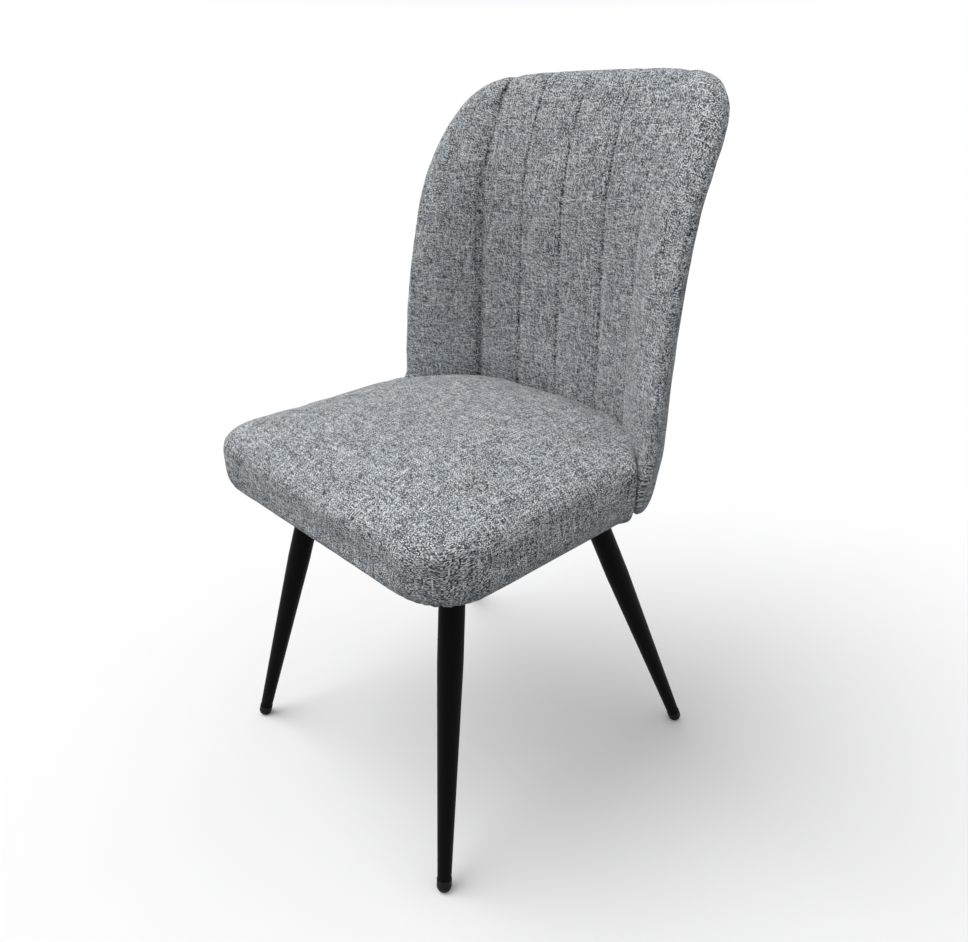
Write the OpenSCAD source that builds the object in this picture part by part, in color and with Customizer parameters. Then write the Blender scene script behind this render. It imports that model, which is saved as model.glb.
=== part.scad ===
// Upholstered dining chair: a channelled wrap-round back, a padded seat and four splayed round legs.
// Millimetres, +Z up, floor at z = 0, the sitter faces -Y, and the chair is the same left and right.

/* [Seat] */
// Half of the seat's width at its front corners
seat_half_w = 246; // [230:1:260]
// Half of the seat's width where it meets the wings
seat_rear_half_w = 240; // [236:1:244]
// Where the front of the seat is, measured back from the middle of the chair
seat_front_y = -255; // [-270:1:-245]
// Radius of the seat's front corners, seen from above
seat_corner_r = 68; // [50:1:80]
// Height of the seat's underside
seat_base_z = 405; // [400:1:408]
// Height where the rounded top edge ends and the crown begins
seat_edge_z = 482; // [475:1:490]
// How far the crown rises above that edge
seat_crown = 29; // [15:1:34]
// How much higher the back of the seat is than its front
seat_rear_rise = 17; // [0:1:20]
// Radius of the seat's top edge
seat_top_r = 21; // [16:1:26]
// Radius of the seat's bottom edge
seat_bottom_r = 23; // [18:1:25]

/* [Back] */
// Where the middle of the back's thickness is, low down at its centre
back_y = 192; // [191:1:196]
// Half of the back's thickness
back_half_t = 16; // [15:0.5:17]
// Half of the back's width
back_half_w = 237; // [234:1:240]
// How much narrower the back is on each side by its top
back_narrowing = 5; // [0:1:8]
// Half of the width of the flat middle of the back
flat_half_w = 78; // [76:1:86]
// How far the wings reach forward beside the seat
wing_depth = 92; // [84:1:96]
// How much further forward the wings reach low down, where they hold the sides of the seat
wing_low_gain = 13; // [6:1:15]
// Share of that depth which the wings lose by the top of the back
wing_fade = 0.91; // [0.8:0.01:0.98]
// How suddenly the wings fade: 1 is evenly with height, and more is nearer the top
wing_fade_power = 2.2; // [1.5:0.1:3]
// Height of the back's bottom edge
back_base_z = 405.4; // [405:0.2:408]
// Height over which the back's bottom corners round off
back_low_r = 30; // [24:1:40]
// How far in from each side those corners begin
back_low_side_r = 10; // [5:1:16]
// How far the seam between the covers lies behind the middle of the thickness
seam_back = 4.5; // [3:0.5:6]
// Height of the back's top edge
back_top_z = 918; // [890:1:950]
// How much lower the top corners are than the middle of the top edge
top_crown = 4; // [0:1:12]
// Height where the top corners begin to round off
corner_start_z = 739; // [720:1:760]
// Squareness of the top corners: 2 is an ellipse, and more is squarer
corner_power = 5; // [3:0.1:6]
// Rearward lean above the seat, as a slope
lean = 0.002; // [0:0.001:0.04]
// Extra sweep of the top of the back, as a curvature per millimetre
top_sweep = 0.0016; // [0.0008:0.0001:0.002]

/* [Legs] */
// Where a front foot stands, to the side
front_foot_x = 220; // [205:1:225]
// Where a front foot stands, towards the front
front_foot_y = -240; // [-245:1:-225]
// Where a front leg meets the seat, to the side
front_top_x = 146; // [140:1:160]
// Where a front leg meets the seat, towards the front
front_top_y = -150; // [-160:1:-140]
// Where a rear foot stands, to the side
rear_foot_x = 238; // [215:1:240]
// Where a rear foot stands, towards the back
rear_foot_y = 222; // [215:1:240]
// Where a rear leg meets the seat, to the side
rear_top_x = 158; // [152:1:160]
// Where a rear leg meets the seat, towards the back
rear_top_y = 76; // [60:1:78]
// Diameter of the straight top of a leg
leg_top_d = 31.5; // [28:0.5:36]
// Diameter of a leg at its foot
leg_foot_d = 17.5; // [16:0.5:20]
// Share of the leg's length that stays at the top diameter
leg_straight_share = 0.3; // [0.1:0.05:0.5]
// Wall thickness of the leg tube
leg_wall = 1.5; // [1:0.25:1.75]

/* [Boards, foam and fabric] */
// Thickness of the upholstery fabric with its backing
fabric_t = 1.5; // [1:0.25:2]
// Thickness of the seat board
seat_board_t = 12; // [10:1:15]
// Thickness of the moulded plywood in the back
back_ply_t = 9; // [6:1:10]
// Thickness of the non-woven cloth under the seat
dust_cloth_t = 0.6; // [0.4:0.1:1]
// How far the seat fabric is turned in under the board
fabric_turn_in = 52; // [45:1:60]

/* [Fittings] */
// Side of a square leg plate
plate_side = 58; // [57:1:62]
// Thickness of a leg plate
plate_t = 3; // [2:0.5:4]
// Distance from a plate's centre to its screws, along each side
plate_screw_offset = 19.5; // [18.5:0.5:20]
// Diameter of the screws
screw_d = 6; // [5:0.5:6]
// Distance of each back bracket from the middle of the chair
bracket_x = 55; // [45:1:58]
// Width of a back bracket
bracket_w = 36; // [30:1:40]
// Thickness of a back bracket
bracket_t = 4; // [3:0.5:5]
// Height of a back bracket's upright leg above the underside of the seat
bracket_rise = 88; // [86:1:92]

/* [Hidden] */

fabric_colour = [0.47, 0.50, 0.55];
foam_colour = [0.93, 0.89, 0.76];
ply_colour = [0.80, 0.66, 0.46];
cloth_colour = [0.08, 0.08, 0.09];
leg_colour = [0.05, 0.05, 0.055];
zinc_colour = [0.72, 0.73, 0.75];

// Small gap between pieces that lie on each other, and between the curved layers of the back.
gap = 0.2;
layer_gap = 0.5;
// Smallest thickness of a foam or fabric edge.
edge_t = 0.4;

// ---------------------------------------------------------------- shared shapes

// A closed skin over a list of rings that all have the same number of points.
// Each ring runs out along one path and home along another, so a strip closes each flat end.
module skin_over_strips(rings) {
    m = len(rings[0]);
    half = m / 2;
    points = [for (ring = rings) for (p = ring) p];
    last = (len(rings) - 1) * m;
    sides = [for (j = [0 : len(rings) - 2]) for (i = [0 : m - 1])
        let (a = j * m + i, b = j * m + (i + 1) % m)
        each [[a, b + m, b], [a, a + m, b + m]]];
    low_cap = [for (i = [0 : half - 2]) each [[i, i + 1, m - 2 - i], [i, m - 2 - i, m - 1 - i]]];
    high_cap = [for (i = [0 : half - 2]) each [[last + i, last + m - 2 - i, last + i + 1],
        [last + i, last + m - 1 - i, last + m - 2 - i]]];
    polyhedron(points, concat(sides, low_cap, high_cap), convexity = 8);
}

// A closed skin over rings, with one point closing each end.
module skin_over_rings(start, rings, finish) {
    m = len(rings[0]);
    points = concat([start], [for (ring = rings) for (p = ring) p], [finish]);
    last = 1 + (len(rings) - 1) * m;
    end = len(points) - 1;
    sides = [for (j = [0 : len(rings) - 2]) for (i = [0 : m - 1])
        let (a = 1 + j * m + i, b = 1 + j * m + (i + 1) % m)
        each [[a, b + m, b], [a, a + m, b + m]]];
    opening = [for (i = [0 : m - 1]) [0, 1 + i, 1 + (i + 1) % m]];
    closing = [for (i = [0 : m - 1]) [end, last + (i + 1) % m, last + i]];
    polyhedron(points, concat(opening, sides, closing), convexity = 8);
}

// Points along an arc, from one angle to another.
function arc(centre, r, from, to, steps) = [for (i = [0 : steps])
    let (a = from + (to - from) * i / steps) [centre.x + r * cos(a), centre.y + r * sin(a)]];

// Points strictly between two points.
function between(a, b, steps) = [for (i = [1 : steps - 1]) a + (b - a) * i / steps];

function reversed(list) = [for (i = [len(list) - 1 : -1 : 0]) list[i]];

// ---------------------------------------------------------------- form of the back

// The back's middle surface is flat at its centre and bends round an arc on each side.
wing_reach = back_half_w - 6.5 - flat_half_w;
lean_start_z = 500;
sweep_start_z = 736;
fade_height = 420;
gain_height = 55;
function eased(u) = u * u * (3 - 2 * u);
function wing(z) = wing_depth * (1 - wing_fade * pow(max(0, z - lean_start_z) / fade_height, wing_fade_power))
    + wing_low_gain * eased(max(0, min(1, (lean_start_z - z) / gain_height)));
function bend(z) = 2 * wing(z) / (wing_reach * wing_reach + wing(z) * wing(z));
function centre_y(z) = back_y + lean * max(0, z - lean_start_z)
    + top_sweep * pow(max(0, z - sweep_start_z), 2);
function middle_y(x, z) = let (h = max(0, abs(x) - flat_half_w), k = bend(z))
    centre_y(z) - k * h * h / (1 + sqrt(max(0.01, 1 - k * k * h * h)));

// Half of the back's width at a height, for an outline drawn in by an inset.
corner_h = back_top_z - corner_start_z;
function share_up(z, inset) = max(0, z - corner_start_z) / (corner_h - inset);
function share_down(z, inset) = max(0, min(1, (back_base_z + back_low_r - z) / (back_low_r - inset)));
function side_w(z) = back_half_w - back_narrowing * max(0, z - lean_start_z) / fade_height;
function half_w(z, inset) = (side_w(z) - inset)
    * pow(1 - pow(share_up(z, inset), corner_power), 1 / corner_power)
    - back_low_side_r * (back_low_r - inset) / back_low_r * (1 - sqrt(1 - pow(share_down(z, inset), 2)));

// The back's top and bottom edge at a distance from its centre.
function top_z(x, z) = corner_start_z
    + corner_h * pow(max(0, 1 - pow(abs(x) / side_w(z), corner_power)), 1 / corner_power);
function low_z(x) = let (over = max(0, abs(x) - back_half_w + back_low_side_r) / back_low_side_r)
    back_base_z + back_low_r * (1 - sqrt(max(0, 1 - over * over)));

// Distances from a place on the back to its side and top edge, and to its bottom edge.
function combined(a, b) = max(0.001, a) * max(0.001, b)
    / sqrt(pow(max(0.001, a), 2) + pow(max(0.001, b), 2));
function side_d(x, z) = combined(half_w(z, 0) - abs(x), top_z(x, z) - z);
function low_d(x, z) = z - low_z(x);
function edge_d(x, z) = combined(side_d(x, z), low_d(x, z));

// The top edge is slightly crowned.
function top_drop(x, z) = top_crown * pow(x / back_half_w, 2) * pow(share_up(z, 0), 2);

// Where a point stands that is h in front of the middle surface.
slope_step = 0.5;
function on_back(x, z, h) =
    let (s = slope_step,
         sx = (middle_y(x + s, z) - middle_y(x - s, z)) / (2 * s),
         sz = (middle_y(x, z + s) - middle_y(x, z - s)) / (2 * s),
         n = sqrt(1 + sx * sx + sz * sz))
    [x + h * sx / n, middle_y(x, z) - h / n, z + h * sz / n - top_drop(x, z)];

// The seam between the covers lies behind the middle, and moves forward towards the bottom edge.
low_roll_h = 85;
seam_low_shift = 6;
function seam_h(z) = let (u = max(0, min(1, (back_base_z + low_roll_h - z) / low_roll_h)))
    -seam_back + seam_low_shift * u * u;

// Heights of the padded faces over the middle surface, for a skin that lies t below the outside.
// The front rolls over the rim in a large radius and the rear in a small one, up to the seam.
front_roll_r = back_half_t + seam_back;
rear_roll_r = back_half_t - seam_back;
function roll(u) = u <= 0 ? 0 : sqrt(1 - pow(1 - min(1, u), 2));
function rolled(x, z, t, side_r, low_r) =
    roll(combined((side_d(x, z) - t) / (side_r - t), (low_d(x, z) - t) / (low_r - t)));
function front_h(x, z, t) = let (s = seam_h(z))
    s + (back_half_t - s - t) * rolled(x, z, t, front_roll_r, front_roll_r);
function rear_h(x, z, t) = let (s = seam_h(z))
    s - (back_half_t + s - t) * rolled(x, z, t, rear_roll_r, low_roll_h);

// The plywood stops short of the edge, and the two foams meet beside it.
ply_inset = 20;
foam_step = 13;
ply_half = back_ply_t / 2;
ply_front_y = back_y - ply_half;
ply_rear_y = back_y + ply_half;
function front_bed_h(x, z) = edge_d(x, z) < foam_step ? seam_h(z) + gap / 2 : ply_half + layer_gap;
function rear_bed_h(x, z) = edge_d(x, z) < foam_step ? seam_h(z) - gap / 2 : -ply_half - layer_gap;

// Heights of the horizontal sections, closer together where the corners round off.
low_shares = [0.006, 0.04, 0.12, 0.25, 0.45, 0.7];
middle_rows = 7;
corner_shares = [0, 0.2, 0.38, 0.54, 0.67, 0.78, 0.86, 0.92, 0.96, 0.985, 0.998];
low_corner_z = back_base_z + back_low_r;
function row_heights(inset) = concat(
    [for (s = low_shares) back_base_z + inset + (back_low_r - inset) * s],
    [for (i = [0 : middle_rows - 1])
        low_corner_z + (corner_start_z - low_corner_z) * i / middle_rows],
    [for (s = corner_shares) corner_start_z + (corner_h - inset) * s]);

// Places across a section, closer together towards the edges.
half_columns = 12;
columns = [for (i = [-half_columns : half_columns]) sin(90 * i / half_columns)];

// ---------------------------------------------------------------- form of the seat

// The rear of the seat follows the shell's inner face at a small distance.
seat_clearance = 1.5;
shell_bend_r = 1 / bend(seat_base_z);
shell_centre = [flat_half_w, back_y - shell_bend_r];
seat_rear_r = shell_bend_r - back_half_t - seat_clearance;

// The rear ends where the wings begin to roll over their rims, and a slanting side follows each roll.
roll_start_angle = asin(bend(seat_base_z) * (back_half_w - flat_half_w - back_half_t - seam_back));
rim_slant = 52;

// A curve that leaves one straight line and joins another, which cross at its middle point.
function blend_curve(start, crossing, end, steps) = [for (i = [1 : steps - 1]) let (u = i / steps)
    (1 - u) * (1 - u) * start + 2 * u * (1 - u) * crossing + u * u * end];

// One half of the seat's outline, from the middle of its front to the middle of its rear.
// The side runs straight back to the wing's rim, and turns inwards round a small corner in front of it.
seat_turn_l = 14;
function seat_half_outline(inset) =
    let (corner = [seat_half_w - seat_corner_r, seat_front_y + seat_corner_r],
         front = arc(corner, max(2, seat_corner_r - inset), -90, 0, 7),
         rear = arc(shell_centre, seat_rear_r - inset, 90 - roll_start_angle, 90, 8),
         rear_x = seat_rear_half_w - inset,
         crossing = [rear_x, rear[0].y - (rear_x - rear[0].x) * tan(rim_slant)],
         side_end = crossing - [0, seat_turn_l],
         turn_end = crossing + seat_turn_l * [-cos(rim_slant), sin(rim_slant)])
    concat([[0, front[0].y]], between([0, front[0].y], front[0], 4), front,
        between(front[7], side_end, 5), [side_end],
        blend_curve(side_end, crossing, turn_end, 5), [turn_end],
        between(turn_end, rear[0], 2), rear,
        between(rear[8], [0, rear[8].y], 3), [[0, rear[8].y]]);

function seat_outline(inset) = let (half = seat_half_outline(inset))
    concat(half, [for (i = [len(half) - 2 : -1 : 1]) [-half[i].x, half[i].y]]);

// The rear of the seat rises, and its underside stays level.
seat_depth = 430;
function rise(y, z) = seat_rear_rise * max(0, min(1, (z - rise_start_z) / (seat_edge_z - rise_start_z)))
    * pow(max(0, y - seat_front_y) / seat_depth, 1.5);
function seat_ring(inset, z) = [for (p = seat_outline(inset)) [p.x, p.y, z + rise(p.y, z)]];

// Rings over the crown, drawn in towards the middle of the seat.
seat_middle = [0, -30];
crown_shares = [0.97, 0.92, 0.84, 0.72, 0.55, 0.34, 0.15];
function crown_z(share, t) = seat_edge_z - t + seat_crown * (1 - pow(share, 3));
function crown_ring(share, t) = [for (p = seat_outline(seat_top_r))
    let (x = p.x * share, y = seat_middle.y + (p.y - seat_middle.y) * share)
    [x, y, crown_z(share, t) + rise(y, seat_edge_z)]];
function crown_top(t) = [0, seat_middle.y, crown_z(0, t) + rise(seat_middle.y, seat_edge_z)];

// The padded outside of the seat from its crown down to its bottom edge, t below the surface.
function seat_side_rings(t, base) = concat(
    [for (i = [len(crown_shares) - 1 : -1 : 0]) crown_ring(crown_shares[i], t)],
    [for (a = [90 : -22.5 : 0]) seat_ring(seat_top_r - (seat_top_r - t) * cos(a),
        seat_edge_z - seat_top_r + (seat_top_r - t) * sin(a))],
    [for (a = [0 : 22.5 : 90]) seat_ring(seat_bottom_r - (seat_bottom_r - t) * cos(a),
        base + seat_bottom_r - (seat_bottom_r - t) * sin(a))]);

// Heights of the layers under the seat, from the cloth up.
cloth_top_z = seat_base_z + dust_cloth_t;
turn_in_z = cloth_top_z + gap;
board_z = turn_in_z + fabric_t + gap;
board_inset = seat_bottom_r + 1;
nut_flange_t = 1.2;
foam_bed_z = board_z + seat_board_t + nut_flange_t + 0.5;
rise_start_z = foam_bed_z + 1;

// ---------------------------------------------------------------- places of the fittings

front_top = [front_top_x, front_top_y];
rear_top = [rear_top_x, rear_top_y];
front_foot = [front_foot_x, front_foot_y];
rear_foot = [rear_foot_x, rear_foot_y];
leg_tops = [[-1, front_top], [1, front_top], [-1, rear_top], [1, rear_top]];
leg_top_places = [for (leg = leg_tops) [leg[0] * leg[1].x, leg[1].y]];

// The rear plates are turned, so that their screws keep inside the board's round rear corners.
rear_plate_turn = 39;
function turned(p, a) = [p.x * cos(a) - p.y * sin(a), p.x * sin(a) + p.y * cos(a)];
function plate_turn(top) = top.y > 0 ? sign(top.x) * rear_plate_turn : 0;
leg_screw_places = [for (top = leg_top_places) for (sx = [-1, 1]) for (sy = [-1, 1])
    top + turned(plate_screw_offset * [sx, sy], plate_turn(top))];
bracket_seat_ys = [82, 124];
bracket_seat_places = [for (side = [-1, 1]) for (y = bracket_seat_ys) [side * bracket_x, y]];
screw_places = concat(leg_screw_places, bracket_seat_places);
bracket_back_zs = [454, 478];
back_screw_places = [for (side = [-1, 1]) for (z = bracket_back_zs) [side * bracket_x, z]];

screw_r = screw_d / 2;
nut_bore_r = screw_r + 0.1;
nut_barrel_r = nut_bore_r + 0.9;
nut_hole_r = nut_barrel_r + 0.1;
nut_flange_r = 8.5;
nut_barrel_l = 8;
plate_gap_z = seat_base_z - gap;
washer_t = 1;
head_r = 5.5;
head_t = 3.6;

// ---------------------------------------------------------------- seat pieces

module seat_board() {
    color(ply_colour)
    translate([0, 0, board_z])
    linear_extrude(seat_board_t)
    difference() {
        polygon(seat_outline(board_inset));
        for (p = screw_places) translate(p) circle(nut_hole_r, $fn = 32);
    }
}

// A T-nut with its flange at the origin and its barrel going down.
module t_nut() {
    difference() {
        union() {
            cylinder(h = nut_flange_t, r = nut_flange_r, $fn = 32);
            translate([0, 0, -nut_barrel_l]) cylinder(h = nut_barrel_l + 0.1, r = nut_barrel_r, $fn = 32);
        }
        translate([0, 0, -nut_barrel_l - 1]) cylinder(h = nut_barrel_l + 4, r = nut_bore_r, $fn = 32);
    }
}

module seat_t_nuts() {
    color(zinc_colour)
    for (p = screw_places) translate([p.x, p.y, board_z + seat_board_t]) t_nut();
}

// The foam is moulded over the board's top and edge.
module seat_foam() {
    t = fabric_t + gap;
    shoulder = board_inset - gap;
    color(foam_colour)
    skin_over_rings([0, seat_middle.y, foam_bed_z],
        concat([seat_ring(shoulder + 60, foam_bed_z), seat_ring(shoulder, foam_bed_z),
            seat_ring(shoulder, turn_in_z + fabric_t + gap)],
            reversed(seat_side_rings(t, turn_in_z))),
        crown_top(t));
}

// One sheet of fabric over the foam, turned in under the board and pierced there for the screws.
module seat_cover() {
    outside = seat_side_rings(0, turn_in_z);
    inside = seat_side_rings(fabric_t, turn_in_z);
    lip = seat_ring(fabric_turn_in, turn_in_z);
    lip_top = seat_ring(fabric_turn_in, turn_in_z + fabric_t);
    color(fabric_colour)
    difference() {
        skin_over_rings(crown_top(fabric_t), concat(inside, [lip_top, lip], reversed(outside)),
            crown_top(0));
        for (p = screw_places)
            translate([p.x, p.y, seat_base_z]) cylinder(h = board_z - seat_base_z, r = screw_r + 0.5, $fn = 32);
    }
}

dust_inset = 31;
module seat_dust_cloth() {
    color(cloth_colour)
    translate([0, 0, seat_base_z])
    linear_extrude(dust_cloth_t)
    difference() {
        polygon(seat_outline(dust_inset));
        for (p = screw_places) translate(p) circle(screw_r + 0.5, $fn = 32);
    }
}

// Wire staples round the edge of the dust cloth, clear of the leg plates and brackets.
staple_l = 11;
staple_wire = 0.9;
staple_plate_gap = plate_side * 0.71 + staple_l / 2;
staple_bracket_gap = bracket_w / 2 + staple_l / 2 + 2;
function staple_fits(p) = min([for (top = leg_top_places) norm(p - top)]) > staple_plate_gap
    && (p.y < bracket_foot_y || abs(abs(p.x) - bracket_x) > staple_bracket_gap);
module seat_staples() {
    path = seat_outline(dust_inset + 8);
    n = len(path);
    color(zinc_colour)
    for (i = [1 : 2 : n - 1]) {
        a = path[i];
        b = path[(i + 1) % n];
        middle = (a + b) / 2;
        along = norm(b - a);
        if (along > staple_l + 4 && staple_fits(middle))
            translate([middle.x, middle.y, seat_base_z - staple_wire])
            rotate(atan2(b.y - a.y, b.x - a.x))
            translate([-staple_l / 2, -staple_wire / 2, 0]) cube([staple_l, staple_wire, staple_wire - 0.05]);
    }
}

// ---------------------------------------------------------------- back pieces

// One layer of the back between two faces, given as functions of the place and its height.
module back_layer(inset, front_face, rear_face) {
    last = len(columns) - 1;
    skin_over_strips([for (z = row_heights(inset))
        let (w = half_w(z, inset)) concat(
            [for (i = [0 : last]) let (x = columns[i] * w) on_back(x, z, front_face(x, z))],
            [for (i = [last : -1 : 0]) let (x = columns[i] * w) on_back(x, z, rear_face(x, z))])]);
}

// The room that a bracket and its screws take in front of the plywood.
pocket_t = bracket_t + 2.2;
module bracket_pockets() {
    for (side = [-1, 1])
        translate([side * bracket_x - bracket_w / 2 - 1, ply_front_y - pocket_t, seat_base_z - 40])
        cube([bracket_w + 2, pocket_t, bracket_rise + 44]);
}

// The moulded plywood that gives the back its shape.
module back_shell() {
    color(ply_colour)
    difference() {
        back_layer(ply_inset, function (x, z) ply_half, function (x, z) -ply_half);
        for (p = back_screw_places)
            translate([p.x, ply_rear_y + 5, p.y]) rotate([90, 0, 0])
            cylinder(h = back_ply_t + 10, r = nut_hole_r, $fn = 32);
    }
}

module back_t_nuts() {
    color(zinc_colour)
    for (p = back_screw_places)
        translate([p.x, ply_rear_y, p.y]) rotate([-90, 0, 0]) t_nut();
}

// The foam in front of the plywood, with a pocket for each bracket.
foam_inset = fabric_t + 2 * layer_gap;
module back_front_foam() {
    color(foam_colour)
    difference() {
        back_layer(foam_inset,
            function (x, z) max(front_bed_h(x, z) + edge_t, front_h(x, z, foam_inset)),
            function (x, z) front_bed_h(x, z));
        bracket_pockets();
    }
}

// The wadding behind the plywood, with a recess for each T-nut.
module back_rear_wadding() {
    color(foam_colour)
    difference() {
        back_layer(foam_inset,
            function (x, z) rear_bed_h(x, z),
            function (x, z) min(rear_bed_h(x, z) - edge_t, rear_h(x, z, foam_inset)));
        for (p = back_screw_places)
            translate([p.x, ply_rear_y - 1, p.y]) rotate([-90, 0, 0])
            cylinder(h = nut_flange_t + 1.3, r = nut_flange_r + 0.5, $fn = 32);
    }
}

module back_front_cover() {
    color(fabric_colour)
    difference() {
        back_layer(0,
            function (x, z) max(seam_h(z) + gap / 2 + edge_t, front_h(x, z, 0)),
            function (x, z) max(seam_h(z) + gap / 2, front_h(x, z, fabric_t)));
        bracket_pockets();
    }
}

module back_rear_cover() {
    color(fabric_colour)
    back_layer(0,
        function (x, z) min(seam_h(z) - gap / 2, rear_h(x, z, fabric_t)),
        function (x, z) min(seam_h(z) - gap / 2 - edge_t, rear_h(x, z, 0)));
}

// ---------------------------------------------------------------- brackets and screws

// An L of flat steel: its foot lies under the seat and its upright stands against the plywood.
bracket_foot_y = 62;
bend_out_r = 9;
module bracket() {
    back_face = ply_front_y - gap;
    foot_z = plate_gap_z - bracket_t;
    bend_centre = [back_face - bend_out_r, foot_z + bend_out_r];
    color(leg_colour)
    difference() {
        translate([-bracket_w / 2, 0, 0])
        rotate([90, 0, 90])
        linear_extrude(bracket_w)
        polygon(concat([[bracket_foot_y, foot_z]],
            arc(bend_centre, bend_out_r, -90, 0, 9),
            [[back_face, foot_z + bracket_rise], [back_face - bracket_t, foot_z + bracket_rise]],
            arc(bend_centre, bend_out_r - bracket_t, 0, -90, 9),
            [[bracket_foot_y, foot_z + bracket_t]]));
        for (y = bracket_seat_ys)
            translate([0, y, foot_z - 1]) cylinder(h = bracket_t + 2, r = screw_r + 0.3, $fn = 32);
        for (z = bracket_back_zs)
            translate([0, back_face - bracket_t - 1, z]) rotate([-90, 0, 0])
            cylinder(h = bracket_t + 2, r = screw_r + 0.3, $fn = 32);
    }
}

module back_bracket_left() { translate([-bracket_x, 0, 0]) bracket(); }

module back_bracket_right() { translate([bracket_x, 0, 0]) bracket(); }

// A domed screw whose head hangs below the origin, with a hexagon socket in its head.
module screw(length) {
    difference() {
        union() {
            cylinder(h = length, r = screw_r, $fn = 32);
            intersection() {
                translate([0, 0, 3.2]) sphere(r = 6.8, $fn = 48);
                translate([0, 0, -head_t]) cylinder(h = head_t + 0.01, r = head_r, $fn = 32);
            }
        }
        translate([0, 0, -head_t - 1]) cylinder(h = 3.2, r = 2.3, $fn = 6);
    }
}

// Length of a screw from under its head to just past the T-nut's flange.
seat_screw_l = seat_board_t + board_z - plate_gap_z + plate_t + washer_t;
module leg_screws() {
    color(zinc_colour)
    for (p = leg_screw_places)
        translate([p.x, p.y, plate_gap_z - plate_t - washer_t - 2 * gap]) screw(seat_screw_l);
}

module leg_washers() {
    color(zinc_colour)
    for (p = leg_screw_places)
        translate([p.x, p.y, plate_gap_z - plate_t - washer_t - gap])
        difference() {
            cylinder(h = washer_t, r = 6.5, $fn = 32);
            translate([0, 0, -1]) cylinder(h = washer_t + 2, r = screw_r + 0.3, $fn = 32);
        }
}

module bracket_seat_screws() {
    color(zinc_colour)
    for (p = bracket_seat_places)
        translate([p.x, p.y, plate_gap_z - bracket_t - gap]) screw(seat_screw_l);
}

// Flat-headed screws, so that the foam lies level over the brackets.
module bracket_back_screws() {
    face = ply_front_y - gap - bracket_t;
    color(zinc_colour)
    for (p = back_screw_places)
        translate([p.x, face - gap, p.y]) rotate([-90, 0, 0]) {
            translate([0, 0, -1.2]) cylinder(h = 1.2, r = head_r, $fn = 32);
            translate([0, 0, -0.01]) cylinder(h = bracket_t + back_ply_t, r = screw_r, $fn = 32);
        }
}

// ---------------------------------------------------------------- legs

// A leg's axis runs from the centre of its glide to the underside of its plate.
glide_r = 9.4;
glide_centre_z = 7.2;
glide_collar_l = 9;
leg_top_z = plate_gap_z - plate_t;
function leg_start(foot) = [foot.x, foot.y, glide_centre_z];
function leg_vector(foot, top) = [top.x, top.y, leg_top_z] - leg_start(foot);
function leg_tilt(v) = acos(v.z / norm(v));
function leg_turn(v) = atan2(v.y, v.x);

// Puts its children on a leg's axis, with the floor end at their origin.
// The turn about that axis keeps a round surface's start line away from the level cuts.
own_turn = 45;
module on_leg_axis(foot, top) {
    v = leg_vector(foot, top);
    translate(leg_start(foot)) rotate([0, leg_tilt(v), leg_turn(v)]) rotate(own_turn) children();
}

// A round tube that is straight at the top and tapers to the foot. It is cut level at the top,
// where it is welded to its plate.
tube_spare = 30;
module leg(foot, top) {
    length = norm(leg_vector(foot, top));
    foot_end = glide_collar_l + gap;
    taper_end = length * (1 - leg_straight_share);
    top_end = length + tube_spare;
    foot_r = leg_foot_d / 2;
    top_r = leg_top_d / 2;
    color(leg_colour)
    difference() {
        on_leg_axis(foot, top)
            rotate_extrude($fn = 64)
            polygon([[foot_r, foot_end], [top_r, taper_end], [top_r, top_end],
                [top_r - leg_wall, top_end], [top_r - leg_wall, taper_end], [foot_r - leg_wall, foot_end]]);
        translate([top.x - 60, top.y - 60, leg_top_z - gap / 4]) cube([120, 120, 60]);
    }
}

module left() { mirror([1, 0, 0]) children(); }

module leg_front_left() { left() leg(front_foot, front_top); }

module leg_front_right() { leg(front_foot, front_top); }

module leg_rear_left() { left() leg(rear_foot, rear_top); }

module leg_rear_right() { leg(rear_foot, rear_top); }

// A square plate with round corners and four screw holes.
plate_corner_r = 10;
module leg_plate(top) {
    inner = plate_side / 2 - plate_corner_r;
    color(leg_colour)
    translate([top.x, top.y, leg_top_z])
    rotate(plate_turn(top))
    linear_extrude(plate_t)
    difference() {
        union() {
            square([plate_side, 2 * inner], center = true);
            square([2 * inner, plate_side], center = true);
            for (sx = [-1, 1]) for (sy = [-1, 1])
                translate([sx * inner, sy * inner]) circle(plate_corner_r, $fn = 48);
        }
        for (sx = [-1, 1]) for (sy = [-1, 1])
            translate(plate_screw_offset * [sx, sy]) circle(screw_r + 0.4, $fn = 32);
    }
}

module leg_plate_front_left() { left() leg_plate(front_top); }

module leg_plate_front_right() { leg_plate(front_top); }

module leg_plate_rear_left() { left() leg_plate(rear_top); }

module leg_plate_rear_right() { leg_plate(rear_top); }

// A round plastic glide with a plug in the tube and a flat disc on the floor.
plug_l = 20;
module foot_glide(foot, top) {
    plug_r = leg_foot_d / 2 - leg_wall - 0.15;
    color(cloth_colour)
    difference() {
        on_leg_axis(foot, top)
            rotate_extrude($fn = 64)
            polygon(concat([[0, -glide_r]], arc([0, 0], glide_r, -80, 0, 8),
                [[glide_r, glide_collar_l], [plug_r, glide_collar_l],
                [plug_r, glide_collar_l + plug_l], [0, glide_collar_l + plug_l]]));
        translate([foot.x - 30, foot.y - 30, -40]) cube([60, 60, 40]);
    }
}

module foot_glide_front_left() { left() foot_glide(front_foot, front_top); }

module foot_glide_front_right() { foot_glide(front_foot, front_top); }

module foot_glide_rear_left() { left() foot_glide(rear_foot, rear_top); }

module foot_glide_rear_right() { foot_glide(rear_foot, rear_top); }

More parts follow.
